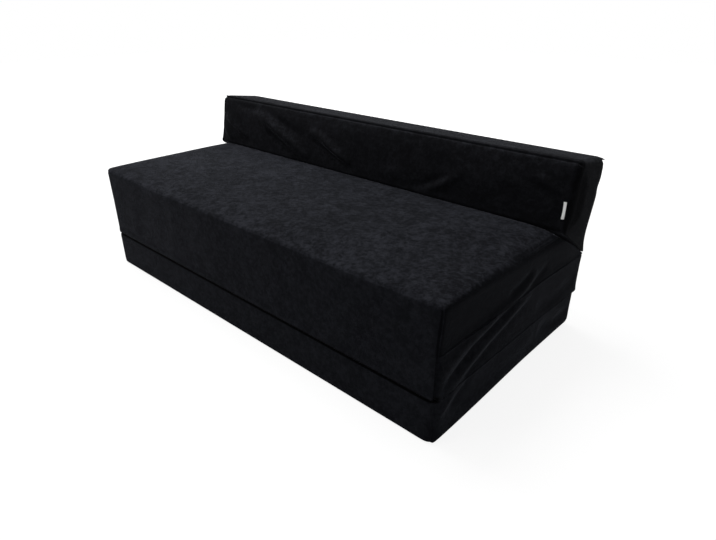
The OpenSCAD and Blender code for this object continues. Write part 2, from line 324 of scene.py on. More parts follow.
def fold(co, normals, face, path, height, width, blunt=False):
    """Raises a fold along a path on one face of a pad, or presses a crease where the height is negative.
    face is the face's outward direction and its two axes. The fold fades out at both its ends."""
    direction, a, b = face
    line = np.array(path, float)
    at = co[:, [a, b]]
    best = np.full(len(co), 1e9)
    along = np.zeros(len(co))
    steps = np.linalg.norm(np.diff(line, axis=0), axis=1)
    total, done = steps.sum(), 0.0
    for p, q, step in zip(line[:-1], line[1:], steps):
        t = np.clip(((at - p) @ (q - p)) / step ** 2, 0, 1)
        d = np.linalg.norm(at - p - t[:, None] * (q - p), axis=1)
        closer = d < best
        best = np.where(closer, d, best)
        along = np.where(closer, (done + t * step) / total, along)
        done += step
    ends = 1 - (2 * along - 1) ** 4 if blunt else hump(along) ** 0.6
    push = height * np.exp(-(best / width) ** 2) * ends * face_share(normals, direction)
    return co + push[:, None] * np.array(direction)


def wander(at, seed, size):
    """A smooth, even wandering value from about -1 to 1 at each place, the same on every run."""
    offset = Vector((17.3 * seed, 5.1 * seed, 29.7 * seed))
    return np.array([noise.noise(Vector(p) / size + offset) for p in at])


def extrude_up(height):
    bpy.ops.mesh.extrude_region_move(TRANSFORM_OT_translate={"value": (0, 0, height)})


def add_panel(piece, side, from_z, to_z):
    """Pulls the pad's hinge edge out as a thin panel that covers the side of the next pad."""
    edge = FRONT_Y + PANEL_THICKNESS if side < 0 else REAR_Y - PANEL_THICKNESS
    up = 1 if to_z > from_z else -1
    hem = 0.0006 * up

    def end_faces(way_out):
        pick(piece, "FACE", lambda middle, normal: normal.z * up > 0.7 and way_out(middle.z)
             and (middle.y - edge) * side > 0.0003)

    open_mesh(piece)
    end_faces(lambda z: abs(z - from_z) < 0.012)
    extrude_up(to_z - hem - from_z)
    pick(piece, "EDGE", lambda middle, way: abs(way.z) > 0.99 and (middle.z - from_z) * up > 0.01)
    bpy.ops.mesh.subdivide(number_cuts=13)
    end_faces(lambda z: (z - to_z) * up > -0.012)
    extrude_up(hem)
    close_mesh()


def soften(piece):
    """Subdivides the pad once, smooths its shading and gives its points and normals."""
    apply_modifier(piece, "SUBSURF", levels=1, render_levels=1)
    shade_smooth(piece)
    return points_of(piece), normals_of(piece)


def end_share(co, low, high):
    """0 in the middle of an end and 1 on its rim."""
    low, high = np.array(low[1:]), np.array(high[1:])
    return np.max(np.abs(co[:, 1:] - (low + high) / 2) / ((high - low) / 2), axis=1)


def draw_in_ends(co, share, left, right):
    """Draws the two ends in between their rims. The left one gets a flat floor for its zip."""
    at_left, at_right = co[:, 0] < -HALF_LENGTH + 0.0005, co[:, 0] > HALF_LENGTH - 0.0005
    out = co.copy()
    out[:, 0] += at_left * smooth_step((1 - share) / 0.17) * left
    out[:, 0] -= at_right * smooth_step((1 - share) / 0.6) * right
    return out


def seam_lines(co, normals, share):
    """A sewn seam round each end: a fine ridge on the rim and a groove beside it."""
    from_end = HALF_LENGTH - np.abs(co[:, 0])
    groove = np.exp(-((from_end - 0.0115) / 0.0022) ** 2) * (share > 0.98)
    ridge = np.exp(-((from_end - 0.0045) / 0.003) ** 2) * (share > 0.98)
    strength = np.where(co[:, 0] > 0, 0.15, 1)
    return co + normals * (strength * (0.0008 * ridge - 0.0011 * groove))[:, None]


# The four pads

ZIP_RECESS = 0.0074
RIGHT_RECESS = 0.001
END_RADIUS = 0.0075
PLAN, END_VIEW = [0, 1], [0, 2]
TOP_RIGHT, BOTTOM_RIGHT, BACK_RIGHT = (2, 1, 1), (2, -1, 1), (1, 1, 1)
ALONG, DEEP = 128, 68


def start_pad(name, low, high, counts, side_lines=SIDE_LINES, left=ZIP_RECESS, right=RIGHT_RECESS):
    """A pad's grid block with so many grid places along each axis and its ends drawn in. It also gives how
    far out on the end each point lies."""
    lines = [grid_places(*each) for each in zip(low, high, counts, (END_LINES, EDGE_LINES, side_lines))]
    piece = grid_block(name, low, high, lines)
    co = points_of(piece)
    share = end_share(co, low, high)
    return piece, share, draw_in_ends(co, share, left, right)


def base_block():
    low, high = (-HALF_LENGTH, FRONT_Y, 0.0), (HALF_LENGTH, REAR_Y, OPEN_FOLD_Z - STACK_CLEARANCE)
    piece, share, co = start_pad("base_pad", low, high, (ALONG, DEEP, 16))
    co = round_block(co, low, high, (0.009, 0.008, 0.0002, 0.009), END_RADIUS, [TOP_RIGHT, BOTTOM_RIGHT])
    co = round_corner(co, PLAN, (-HALF_LENGTH, FRONT_Y), (-1, -1), 0.020)
    co = round_corner(co, PLAN, (HALF_LENGTH, FRONT_Y), (1, -1), 0.024)
    co = round_corner(co, PLAN, (HALF_LENGTH, REAR_Y), (1, 1), 0.019)
    radius = 0.010 + 0.013 * smooth_step((co[:, 1] + 0.25) / 0.35)
    co = round_corner(co, END_VIEW, (HALF_LENGTH, 0.0), (1, -1), radius)
    set_points(piece, co)
    return piece, share


def middle_block():
    low = (-HALF_LENGTH, MIDDLE_FRONT_Y, OPEN_FOLD_Z + STACK_CLEARANCE)
    high = (HALF_LENGTH, MIDDLE_REAR_Y, FRONT_HINGE_Z - STACK_CLEARANCE)
    piece, share, co = start_pad("middle_pad", low, high, (ALONG, DEEP, 16))
    co = round_block(co, low, high, (0.014, 0.004, 0.009, 0.004), END_RADIUS, [TOP_RIGHT, BOTTOM_RIGHT])
    co = round_corner(co, PLAN, (-HALF_LENGTH, low[1]), (-1, -1), 0.020)
    co = round_corner(co, PLAN, (HALF_LENGTH, low[1]), (1, -1), 0.012)
    set_points(piece, co)
    return piece, share


def seat_block():
    low, high = (-HALF_LENGTH, FRONT_Y, FRONT_HINGE_Z + STACK_CLEARANCE), (HALF_LENGTH, 0.292, 0.300)
    piece, share, co = start_pad("seat_pad", low, high, (ALONG, DEEP, 18))
    co = round_block(co, low, high, (0.0002, 0.004, 0.006, 0.011), END_RADIUS,
                     [BACK_RIGHT, BOTTOM_RIGHT, TOP_RIGHT])
    co = round_corner(co, PLAN, (-HALF_LENGTH, FRONT_Y), (-1, -1), 0.024)
    co = round_corner(co, PLAN, (HALF_LENGTH, FRONT_Y), (1, -1), 0.014)
    radius = 0.010 + 0.015 * smooth_step((co[:, 1] + 0.25) / 0.40)
    co = round_corner(co, END_VIEW, (HALF_LENGTH, high[2]), (1, 1), radius)
    co = to_outline(co, low, high, [(low[1], low[2]), (0.2955, low[2]), (0.1335, 0.3005), (low[1], 0.2985)])
    set_points(piece, co)
    return piece, share


BACK_OUTLINE = [(0.1358, 0.3012), (0.2985, 0.2014), (0.2995, 0.4345), (0.1640, 0.4525)]


def backrest_block():
    low, high = (-HALF_LENGTH, 0, 0), (HALF_LENGTH, 0.122, 0.17)
    piece, share, co = start_pad("backrest_pad", low, high, (132, 26, 34), EDGE_LINES, -0.002, -0.005)
    co = round_block(co, low, high, (0.009, 0.0015, 0.010, 0.016), 0.014, [BOTTOM_RIGHT, (2, -1, -1)])
    co = to_outline(co, low, high, BACK_OUTLINE)
    set_points(piece, co)
    return piece, share


UP, FRONT, REAR = (0, 0, 1), (0, -1, 0), (0, 1, 0)
RIGHT, LEFT = (1, 0, 0), (-1, 0, 0)
RIGHT_END = (RIGHT, 1, 2)
BACK_FRONT = ((0, -0.98, 0.2), 0, 2)


def dress(piece, share, moved, give):
    """Moves the pad by what its cloth did, with the share that each face may give, and sews its end seams."""
    co, normals = points_of(piece), normals_of(piece)
    amount = sum(part * face_share(normals, direction) for direction, part in give)
    co += normals * (np.einsum("ij,ij->i", moved, normals) * amount)[:, None]
    set_points(piece, seam_lines(co, normals, share))


def keep_off_foam(co, normals):
    """Keeps the right-hand end outside the foam, between its rounded corners."""
    x, y, z = co.T
    at_end = (x > 0.57) & (normals[:, 0] > 0.5) & (y > FRONT_Y + 0.015) & (y < REAR_Y - 0.028)
    at_end &= (z > 0.0085) & (z < 0.2905)
    co[:, 0] = np.where(at_end, np.maximum(x, FOAM_END + 0.002), x)
    return co


def widen_rear(co):
    """Lets the right-hand end stand a little wider towards the rear."""
    co[:, 0] += 0.0035 * smooth_step((co[:, 1] - 0.08) / 0.16) * smooth_step((co[:, 0] - 0.48) / 0.11)
    return co


def fold_end(co, normals, folds):
    for path, height, width in folds:
        co = fold(co, normals, RIGHT_END, path, height, width, blunt=True)
    return co


def finish_base(piece, share):
    dress(piece, share, swell(piece, 0.006), [(FRONT, 0.5), (RIGHT, 0.2)])
    add_panel(piece, 1, OPEN_FOLD_Z - STACK_CLEARANCE, FRONT_HINGE_Z - 0.008)
    co, normals = soften(piece)
    own = co[:, 2] < OPEN_FOLD_Z
    co = np.where(own[:, None], fold_end(co, normals, BASE_END_FOLDS), co)
    co[own, 2] = np.clip(co[own, 2], 0, OPEN_FOLD_Z - STACK_CLEARANCE)
    co = keep_off_foam(co, normals)
    co[:, 1] = np.clip(co[:, 1], FRONT_Y, REAR_Y)
    set_points(piece, co)


BASE_END_FOLDS = [
    ([(-0.285, 0.060), (-0.262, 0.080), (-0.230, 0.098)], 0.0030, 0.012),
    ([(-0.250, 0.062), (-0.205, 0.084), (-0.175, 0.098)], -0.0022, 0.010),
    ([(0.110, 0.070), (0.200, 0.048), (0.290, 0.050)], -0.0050, 0.018),
    ([(-0.080, 0.080), (0.000, 0.060), (0.090, 0.068)], 0.0025, 0.018),
    ([(-0.220, 0.030), (-0.100, 0.022), (0.050, 0.030)], 0.0015, 0.014),
]
MIDDLE_END_FOLDS = [
    ([(-0.286, 0.152), (-0.250, 0.170), (-0.209, 0.183), (-0.150, 0.190), (-0.088, 0.198)], 0.0042, 0.0155),
    ([(-0.272, 0.100), (-0.254, 0.108), (-0.200, 0.131), (-0.125, 0.155), (-0.060, 0.170), (-0.003, 0.184),
      (0.050, 0.196)], 0.0045, 0.0150),
    ([(-0.275, 0.122), (-0.241, 0.138), (-0.180, 0.162), (-0.130, 0.173), (-0.070, 0.183), (-0.010, 0.196)],
     -0.0042, 0.0090),
    ([(-0.215, 0.106), (-0.120, 0.134), (-0.020, 0.160), (0.050, 0.176)], -0.0026, 0.0120),
    ([(0.080, 0.140), (0.160, 0.128), (0.270, 0.140)], -0.0030, 0.0200),
]
SEAT_END_FOLDS = [
    ([(-0.130, 0.203), (-0.060, 0.206), (-0.010, 0.211), (0.028, 0.224), (0.060, 0.238)], 0.0034, 0.0115),
    ([(-0.060, 0.226), (-0.010, 0.232), (0.035, 0.248)], -0.0026, 0.0100),
    ([(0.030, 0.206), (0.075, 0.222), (0.110, 0.240)], -0.0022, 0.0100),
]


def finish_middle(piece, share):
    dress(piece, share, swell(piece, 0.006), [(RIGHT, 0.25)])
    co, normals = soften(piece)
    co = fold_end(co, normals, MIDDLE_END_FOLDS)
    co = widen_rear(keep_off_foam(co, normals))
    co[:, 2] = np.clip(co[:, 2], OPEN_FOLD_Z + STACK_CLEARANCE, FRONT_HINGE_Z - STACK_CLEARANCE)
    co[:, 1] = np.clip(co[:, 1], MIDDLE_FRONT_Y, MIDDLE_REAR_Y)
    set_points(piece, co)


def finish_seat(piece, share):
    dress(piece, share, swell(piece, 0.008), [(UP, 0.45), (RIGHT, 0.25)])
    add_panel(piece, -1, FRONT_HINGE_Z + STACK_CLEARANCE, OPEN_FOLD_Z + 0.0045)
    co, normals = soften(piece)
    body = co[:, 2] > FRONT_HINGE_Z
    # The crowned top, with a front edge that sags at mid length
    length, depth = co[:, 0] / HALF_LENGTH, (co[:, 1] - FRONT_Y) / 0.43
    crown = 0.005 * hump(depth) * (1 - 0.5 * length ** 4) + 0.004 * wander(co, 3, 0.21) * hump(depth)
    co[:, 2] += face_share(normals, UP) * crown
    high = np.clip((co[:, 2] - 0.24) / 0.05, 0, 1)
    middle = 1 - smooth_step((np.abs(co[:, 0]) - 0.30) / 0.28)
    co[:, 2] -= high * middle * 0.0050 * (1 - smooth_step((co[:, 1] - FRONT_Y) / 0.07))
    # The front is drawn in above its hem, with fine streaks
    streaks = 0.0011 * wander(co * (1, 0, 0.25), 5, 0.05) + 0.0016 * wander(co * (1, 0, 0.5), 6, 0.16)
    drawn = 0.0012 * hump((co[:, 2] - OPEN_FOLD_Z) / 0.2) * hump((length + 1) / 2) ** 0.5
    front = face_share(normals, FRONT) * (co[:, 1] < FRONT_Y + 0.02)
    above_hem = smooth_step((co[:, 2] - 0.112) / 0.012)
    co[:, 1] += front * above_hem * np.maximum(drawn + streaks + 0.0012, 0)
    co = fold_end(co, normals, SEAT_END_FOLDS)
    # The rear right-hand corner sinks and the end leans out
    corner = smooth_step((co[:, 1] + 0.10) / 0.20) * np.clip((co[:, 0] - 0.52) / 0.08, 0, 1) ** 2
    co[:, 2] -= 0.0070 * corner * np.clip((co[:, 2] - 0.24) / 0.05, 0, 1)
    co = widen_rear(keep_off_foam(co, normals))
    lean = np.clip((co[:, 2] - 0.215) / 0.08, 0, 1) * body
    co[:, 0] += (co[:, 0] > HALF_LENGTH - 0.02) * lean * 0.005
    co[body, 2] = np.maximum(co[body, 2], FRONT_HINGE_Z + STACK_CLEARANCE)
    co[:, 1] = np.maximum(co[:, 1], FRONT_Y)
    set_points(piece, co)


STATIONS = 121


def edge_path(pad, toward, sink):
    """Follows an edge of the pad from one end to the other. toward is the edge's outward direction (y, z)."""
    co = points_of(pad)
    toward = np.array(toward) / np.linalg.norm(toward)
    reach = co[:, 1:] @ toward
    stations = np.linspace(co[:, 0].min() + 0.007, co[:, 0].max() - 0.007, STATIONS)
    best = [np.argmax(np.where(np.abs(co[:, 0] - x) < 0.008, reach, -1e9)) for x in stations]
    path = co[best, 1:] - toward * sink
    for _ in range(3):
        path[1:-1] = (path[:-2] + 2 * path[1:-1] + path[2:]) / 4
    return stations, path


# The way, seen from the side (y, z), in which each welt of the backrest stands out
WELT_FRONT, WELT_REAR = (-0.32, 0.95), (0.70, 0.71)
BACK_FOLDS = [
    ([(-0.575, 0.396), (-0.527, 0.358), (-0.480, 0.329)], 0.0085, 0.0110),
    ([(-0.592, 0.360), (-0.543, 0.317)], 0.0060, 0.0095),
    ([(-0.455, 0.424), (-0.388, 0.399), (-0.323, 0.375), (-0.259, 0.350), (-0.185, 0.318)], 0.0130, 0.0150),
    ([(-0.190, 0.402), (-0.127, 0.381), (-0.088, 0.359), (-0.022, 0.330)], 0.0100, 0.0125),
    ([(-0.552, 0.368), (-0.505, 0.336), (-0.455, 0.316)], -0.0048, 0.0110),
    ([(-0.430, 0.438), (-0.348, 0.412), (-0.278, 0.391), (-0.205, 0.372)], -0.0050, 0.0110),
    ([(-0.390, 0.372), (-0.319, 0.346), (-0.262, 0.320)], -0.0058, 0.0125),
    ([(-0.195, 0.378), (-0.134, 0.358), (-0.099, 0.348), (-0.050, 0.331), (0.000, 0.311)], -0.0075, 0.0110),
    ([(-0.560, 0.432), (-0.470, 0.424), (-0.400, 0.430)], -0.0035, 0.0100),
    ([(0.200, 0.318), (0.255, 0.338), (0.300, 0.362)], -0.0045, 0.0090),
    ([(0.240, 0.318), (0.300, 0.346), (0.345, 0.378)], 0.0050, 0.0120),
    ([(0.080, 0.330), (0.180, 0.345)], 0.0030, 0.0160),
    ([(0.300, 0.405), (0.420, 0.350)], 0.0030, 0.0180),
    ([(0.520, 0.412), (0.580, 0.377)], 0.0050, 0.0085),
    ([(0.510, 0.394), (0.565, 0.364)], -0.0040, 0.0080),
    ([(0.400, 0.400), (0.500, 0.372)], 0.0025, 0.0140),
]


def finish_backrest(piece, share):
    dress(piece, share, swell(piece, 0.007), [(FRONT, 0.6), (UP, 0.35), (RIGHT, 0.6), (LEFT, 0.6)])
    co, normals = soften(piece)
    plain = co
    for path, height, width in BACK_FOLDS:
        co = fold(co, normals, BACK_FRONT, path, height, width)
    co = plain + (co - plain) * smooth_step((HALF_LENGTH - np.abs(co[:, 0])) / 0.022)[:, None]
    # Short gathers at the left-hand end
    for k in range(5):
        x = -0.590 + 0.011 * k
        co = fold(co, normals, BACK_FRONT, [(x, 0.440), (x + 0.006, 0.404 + 0.004 * k)], 0.0022, 0.0035)
    rise = (co[:, 2] - 0.3) / 0.15
    front = face_share(normals, BACK_FRONT[0])
    bulge = 0.004 * hump(rise) * (0.6 + 0.4 * wander(co, 8, 0.2))
    co += np.array(BACK_FRONT[0]) * (front * bulge)[:, None]
    set_points(piece, co)
    # A groove beside each welt, and room for the zip
    for toward in (WELT_FRONT, WELT_REAR):
        stations, path = edge_path(piece, toward, 0)
        away = np.hypot(*(co[:, 1 + k] - np.interp(co[:, 0], stations, path[:, k]) for k in (0, 1)))
        co = co - normals * (0.0024 * np.exp(-((away - 0.0052) / 0.0020) ** 2))[:, None]
    rear = face_share(normals, REAR)
    over_zip = smooth_step((0.555 - np.abs(co[:, 0])) / 0.03)
    over_zip *= smooth_step((0.034 - np.abs(co[:, 2] - 0.279)) / 0.014)
    co[:, 1] -= rear * 0.0082 * over_zip
    # Both ends flare, the left one most
    high = 0.25 + 0.75 * smooth_step((co[:, 2] - 0.21) / 0.16)
    flare_right = 0.0080 * smooth_step((co[:, 0] - 0.46) / 0.14) * high
    flare_left = 0.0320 * smooth_step((-co[:, 0] - 0.45) / 0.15)
    co[:, 0] += flare_right - flare_left
    set_points(piece, co)


def add_cover(block, finish, body, over=None):
    piece, share = block()
    finish(piece, share)
    if over:
        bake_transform(piece)
    else:
        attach(piece, body)
    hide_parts(body + "_cover")
    return piece


# The seam pieces of the backrest

def round_cord(name, stations, path, radius):
    """A fabric-covered cord: a closed cylinder, cut along its length and laid on a path along x."""
    drop_selection()
    bpy.ops.mesh.primitive_cylinder_add(vertices=12, radius=radius, depth=stations[-1] - stations[0],
                                        rotation=(0, math.pi / 2, 0), location=(stations.mean(), 0, 0))
    cord = bpy.context.object
    rename(cord, name)
    settle()
    open_mesh(cord)
    cut_along(cord, 0, 241)
    close_mesh()
    co = points_of(cord)
    twist = 1 + 0.10 * np.sin((co[:, 0] * 340) + np.arctan2(co[:, 2], co[:, 1]))
    from_end = np.minimum(co[:, 0] - stations[0], stations[-1] - co[:, 0])
    thin = np.sqrt(np.clip(1 - (1 - np.clip(from_end / 0.004, 0, 1)) ** 2, 0.05, 1)) * twist
    co[:, 1] = co[:, 1] * thin + np.interp(co[:, 0], stations, path[:, 0])
    co[:, 2] = co[:, 2] * thin + np.interp(co[:, 0], stations, path[:, 1])
    set_points(cord, co)
    shade_smooth(cord)
    return cord


def join_all(pieces, name):
    take(pieces[0])
    for piece in pieces[1:]:
        piece.select_set(True)
    bpy.ops.object.join()
    whole = bpy.context.object
    rename(whole, name)
    return whole


def add_welts(pad):
    front = round_cord("welt", *edge_path(pad, WELT_FRONT, 0.0005), 0.0027)
    rear = round_cord("welt", *edge_path(pad, WELT_REAR, 0.0014), 0.0024)
    welts = join_all([front, rear], "backrest_welts")
    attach(welts, "backrest")
    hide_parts("backrest_top_welts")
    return welts


def add_hinge_strip():
    """The strip that joins backrest and seat: flat on the backrest's rear, its rolled seam on the fold."""
    low, high = (-0.594, 0.2984, 0.2035), (0.594, 0.2991, 0.2165)
    stitch_z = 0.2140
    lines = [np.linspace(low[0], high[0], 240), np.linspace(low[1], high[1], 3),
             np.array([low[2], 0.2050, 0.2075, stitch_z, 0.2153, high[2]])]
    strip = grid_block("strip", low, high, lines)
    co = points_of(strip)
    out = (co[:, 1] - low[1]) / (high[1] - low[1])
    stitches = 0.5 + 0.5 * np.cos(2 * np.pi * co[:, 0] / 0.004)
    in_row = np.exp(-((co[:, 2] - stitch_z) / 0.0006) ** 2)
    co[:, 1] -= out * 0.00035 * in_row * (0.4 + 0.6 * stitches)
    co[:, 1] += out * 0.0002 * wander(co, 11, 0.02)
    set_points(strip, co)
    stations = np.linspace(low[0], high[0], STATIONS)
    seam = round_cord("seam", stations, np.tile([0.2990, 0.2020], (STATIONS, 1)), 0.0009)
    whole = join_all([strip, seam], "backrest_hinge_strip_sewn")
    shade_smooth(whole)
    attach(whole, "backrest")
    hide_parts("backrest_hinge_strip")
    return whole


def add_label(pad):
    """The small blank label: a folded ribbon, sewn in at its top and bottom, on the backrest's front."""
    width, height = 0.0100, 0.037
    centre_x, centre_z = 0.5975, 0.348
    drop_selection()
    bpy.ops.mesh.primitive_grid_add(x_subdivisions=10, y_subdivisions=24, size=1,
                                    rotation=(math.pi / 2, 0, 0))
    label = bpy.context.object
    rename(label, "white_label")
    label.scale = (width, height, 1)
    settle()
    co = points_of(label)
    across, along = co[:, 0] / width, co[:, 2] / height
    skin = points_of(pad)
    near = skin[(np.abs(skin[:, 0] - centre_x) < 0.03) & (skin[:, 1] < 0.24)]
    tree = search_tree(near * (1, 0, 1))
    co[:, 0] = co[:, 0] * 0.65 + centre_x - 0.0015 * along + 0.0008 * hump(along + 0.5)
    co[:, 2] += centre_z
    for i in range(len(co)):
        found = [near[k][1] for _, k, _ in tree.find_n((co[i, 0], 0, co[i, 2]), 5)]
        curl = 0.0022 * np.clip(across[i] + 0.5, 0, 1) ** 2 * hump(along[i] + 0.5)
        co[i, 1] = min(found) - 0.0009 - curl
    set_points(label, co)
    apply_modifier(label, "SOLIDIFY", thickness=0.0006, offset=-1)
    bevel(label, 0.0002)
    shade_smooth(label)
    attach(label, "backrest")
    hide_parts("blank_label")
    return label


# The zips

def corners(node_name):
    """A CAD node's lowest and highest corner."""
    return (np.array(corner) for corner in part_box(node_name))


def zip_axis(pad):
    """The axis that the pad's zip runs along: the backrest's is on its rear, the others on the left end."""
    return 0 if pad == "backrest" else 1


def place_on(pad, piece):
    """Puts a piece modelled along the zip, across it and outwards where the pad's zip is."""
    low, high = corners(pad + "_zip_tape")
    middle = (low + high) / 2
    along, across, out = points_of(piece).T
    if zip_axis(pad) == 0:
        co = [middle[0] + along, low[1] + out, middle[2] - across]
    else:
        co = [high[0] - out, middle[1] + along, middle[2] - across]
    set_points(piece, np.stack(co, axis=1))


# Half of the tape's section in millimetres: the places of its lines from the middle, and its heights there
TAPE_HALF = [0, 2.6, 3.4, 4.2, 7.0, 11.0, 11.6, 12.5, 13.0]
TAPE_HALF_HEIGHTS = [0.60, 0.62, 0.80, 0.70, 0.62, 0.60, 0.80, 0.80, 0.55]
TAPE_LINES = [-place for place in TAPE_HALF[:0:-1]] + TAPE_HALF
TAPE_HEIGHTS = TAPE_HALF_HEIGHTS[:0:-1] + TAPE_HALF_HEIGHTS
STITCH_PITCH, LOOP_PITCH = 0.0034, 0.0018


def block_of_lines(name, *lines):
    """A grid block whose sizes are its grid places, in millimetres, along the three axes."""
    lines = [np.array(places) / 1000 for places in lines]
    return grid_block(name, [places[0] for places in lines], [places[-1] for places in lines], lines)


def repeat(piece, count, pitch):
    apply_modifier(piece, "ARRAY", count=count, use_relative_offset=False, use_constant_offset=True,
                   constant_offset_displace=(pitch, 0, 0))


def add_zip_tape(pad, length):
    """The woven tape with its selvedges, a rib beside the coil and a row of stitches down each side."""
    tape = block_of_lines("tape", [-500 * length, 500 * length], TAPE_LINES, [0, max(TAPE_HEIGHTS)])
    co = points_of(tape)
    top = co[:, 2] > 0.0001
    co[top, 2] = np.interp(co[top, 1] * 1000, TAPE_LINES, TAPE_HEIGHTS) / 1000
    set_points(tape, co)
    row_y = 0.0090
    stitches = add_box((-length / 2 + 0.004, row_y, 0.0007), (0.0024, 0.0005, 0.0005))
    bevel(stitches, 0.00018)
    repeat(stitches, int((length - 0.008) / STITCH_PITCH), STITCH_PITCH)
    take(stitches)
    bpy.ops.object.duplicate()
    other = bpy.context.object
    set_points(other, points_of(other) - (0, 2 * row_y, 0))
    return join_all([tape, stitches, other], pad + "_zip_tape_woven")


def add_zip_coil(pad, length):
    """Interlocked coil loops from both sides, with a stop at each end."""
    rows = []
    for side in (-1, 1):
        start = -length / 2 + 0.003 + LOOP_PITCH / 2 * (side > 0)
        loops = add_box((start, side * 0.0010, 0.0014), (0.00075, 0.0030, 0.0012))
        bevel(loops, 0.00026)
        repeat(loops, int((length - 0.006) / LOOP_PITCH), LOOP_PITCH)
        rows.append(loops)
    for end in (-1, 1):
        stop = add_box((end * (length / 2 - 0.0012), 0, 0.0015), (0.0024, 0.0070, 0.0013))
        open_mesh(stop)
        pick(stop, "FACE", lambda middle, normal: normal.z > 0.9)
        bpy.ops.mesh.inset(thickness=0.0004, depth=0.0001)
        close_mesh()
        bevel(stop, 0.0002, 2)
        rows.append(stop)
    return join_all(rows, pad + "_zip_coil_closed")


def add_slider():
    """The slider: a tapered plate with lips over the coil and a bridge for the pull's pin."""
    slider = block_of_lines("slider", [-6, -3.4, -2.4, 2.4, 3.4, 6], [-3.8, -3.0, -1.1, 1.1, 3.0, 3.8],
                            [1.1, 2.5, 3.3])
    open_mesh(slider)
    pick(slider, "FACE", lambda middle, normal: normal.z > 0.9 and 0.0024 < abs(middle.x) < 0.0034
         and abs(middle.y) < 0.001)
    extrude_up(0.0018)
    extrude_up(0.0008)
    pick(slider, "FACE", lambda middle, normal: middle.z > 0.0051 and normal.x * middle.x < 0
         and abs(normal.x) > 0.9)
    bpy.ops.mesh.bridge_edge_loops()
    close_mesh()
    co = points_of(slider)
    nose = np.clip((-co[:, 0] - 0.0034) / 0.0026, 0, 1)
    co[:, 1] *= 1 - 0.3 * nose
    co[:, 2] -= 0.0006 * (np.abs(co[:, 1]) > 0.0025) * (co[:, 2] > 0.003) * (co[:, 2] < 0.0035)
    set_points(slider, co)
    bevel(slider, 0.0003, 2)
    return slider


def add_pull():
    """The pull: a flat tab with an eye for the bridge, a pin across it and a sunk grip."""
    pull = block_of_lines("pull", [-0.6, 0.6, 5.4, 7.0, 21.0, 23.5, 25.2, 26.0], [-3.0, -1.6, 1.6, 3.0],
                          [3.6, 4.2, 4.8])

    def flat_faces(from_x, to_x):
        pick(pull, "FACE", lambda middle, normal: abs(normal.z) > 0.9 and from_x < middle.x < to_x
             and abs(middle.y) < 0.001)

    open_mesh(pull)
    flat_faces(0.001, 0.005)
    bpy.ops.mesh.bridge_edge_loops()
    flat_faces(0.008, 0.0215)
    bpy.ops.mesh.inset(thickness=0.0004, depth=-0.00025)
    close_mesh()
    co = points_of(pull)
    waist = hump((co[:, 0] - 0.0054) / 0.018)
    tip = np.clip((co[:, 0] - 0.0235) / 0.0025, 0, 1)
    co[:, 1] *= 1 - 0.18 * waist - 0.45 * tip ** 2
    set_points(pull, co)
    bevel(pull, 0.0003, 2)
    return pull


def place_metal(piece, pad, part):
    """Puts a slider or pull where its node is: the pin sits under the middle of the slider's bridge."""
    slider, tape = (sum(corners(f"{pad}_{name}"))[zip_axis(pad)] / 2 for name in ("zip_slider", "zip_tape"))
    set_points(piece, points_of(piece) * (-1, -1, 1) + (slider - tape, 0, 0))
    place_on(pad, piece)
    shade_by_angle(piece, 40)
    rename(piece, f"{pad}_{part}_metal")
    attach(piece, f"{pad}_{part}")
    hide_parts(f"{pad}_zip_{part}")
    paint(piece, "slider_metal")


def add_zip(pad):
    for make, part in ((add_zip_tape, "zip_tape"), (add_zip_coil, "zip_coil")):
        low, high = corners(f"{pad}_{part}")
        piece = make(pad, (high - low)[zip_axis(pad)])
        place_on(pad, piece)
        shade_by_angle(piece, 35)
        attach(piece, pad)
        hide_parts(f"{pad}_{part}")
        paint(piece, part)
    place_metal(add_slider(), pad, "slider")
    place_metal(add_pull(), pad, "pull")


# Materials

def node(tree, kind, **settings):
    made = tree.nodes.new("ShaderNode" + kind)
    for key, value in settings.items():
        setattr(made, key, value)
    return made


def feed(socket, value):
    """Links an output to a socket, or gives the socket a plain value."""
    if isinstance(value, bpy.types.NodeSocket):
        socket.id_data.links.new(value, socket)
    else:
        socket.default_value = value


def set_inputs(made, **values):
    """Feeds a node's inputs by name, with an underscore for each blank in the name."""
    for key, value in values.items():
        feed(made.inputs[key.replace("_", " ")], value)


def new_material(name, **values):
    """A material with its Principled shader's own plain values set."""
    material = bpy.data.materials.new(name)
    material.use_nodes = True
    shader = material.node_tree.nodes["Principled BSDF"]
    set_inputs(shader, **values)
    return material, material.node_tree, shader


def object_places(tree):
    return node(tree, "TexCoord").outputs["Object"]


def split_axes(tree, value):
    made = node(tree, "SeparateXYZ")
    feed(made.inputs[0], value)
    return made.outputs


def add_noise(tree, places, scale, detail=3.0, roughness=0.55, distortion=0.0):
    made = node(tree, "TexNoise")
    set_inputs(made, Vector=places, Scale=scale, Detail=detail, Roughness=roughness, Distortion=distortion)
    return made.outputs["Fac"]


def spread(tree, value, low, high, to_low=0.0, to_high=1.0):
    """Takes a value from one range to another, with soft ends."""
    made = node(tree, "MapRange", interpolation_type="SMOOTHSTEP")
    set_inputs(made, Value=value, From_Min=low, From_Max=high, To_Min=to_low, To_Max=to_high)
    return made.outputs["Result"]


def calculate(tree, operation, a, b=0.0):
    made = node(tree, "Math", operation=operation)
    for socket, value in zip(made.inputs, (a, b)):
        feed(socket, value)
    return made.outputs[0]


def mix_colours(tree, share, a, b):
    """Goes from colour a at share 0 to colour b at share 1."""
    made = node(tree, "Mix", data_type="RGBA")
    set_inputs(made, Factor=share)
    colours_in, colour_out = made.inputs[6:8], made.outputs[2]
    for socket, value in zip(colours_in, (a, b)):
        feed(socket, (*value, 1) if isinstance(value, tuple) else value)
    return colour_out


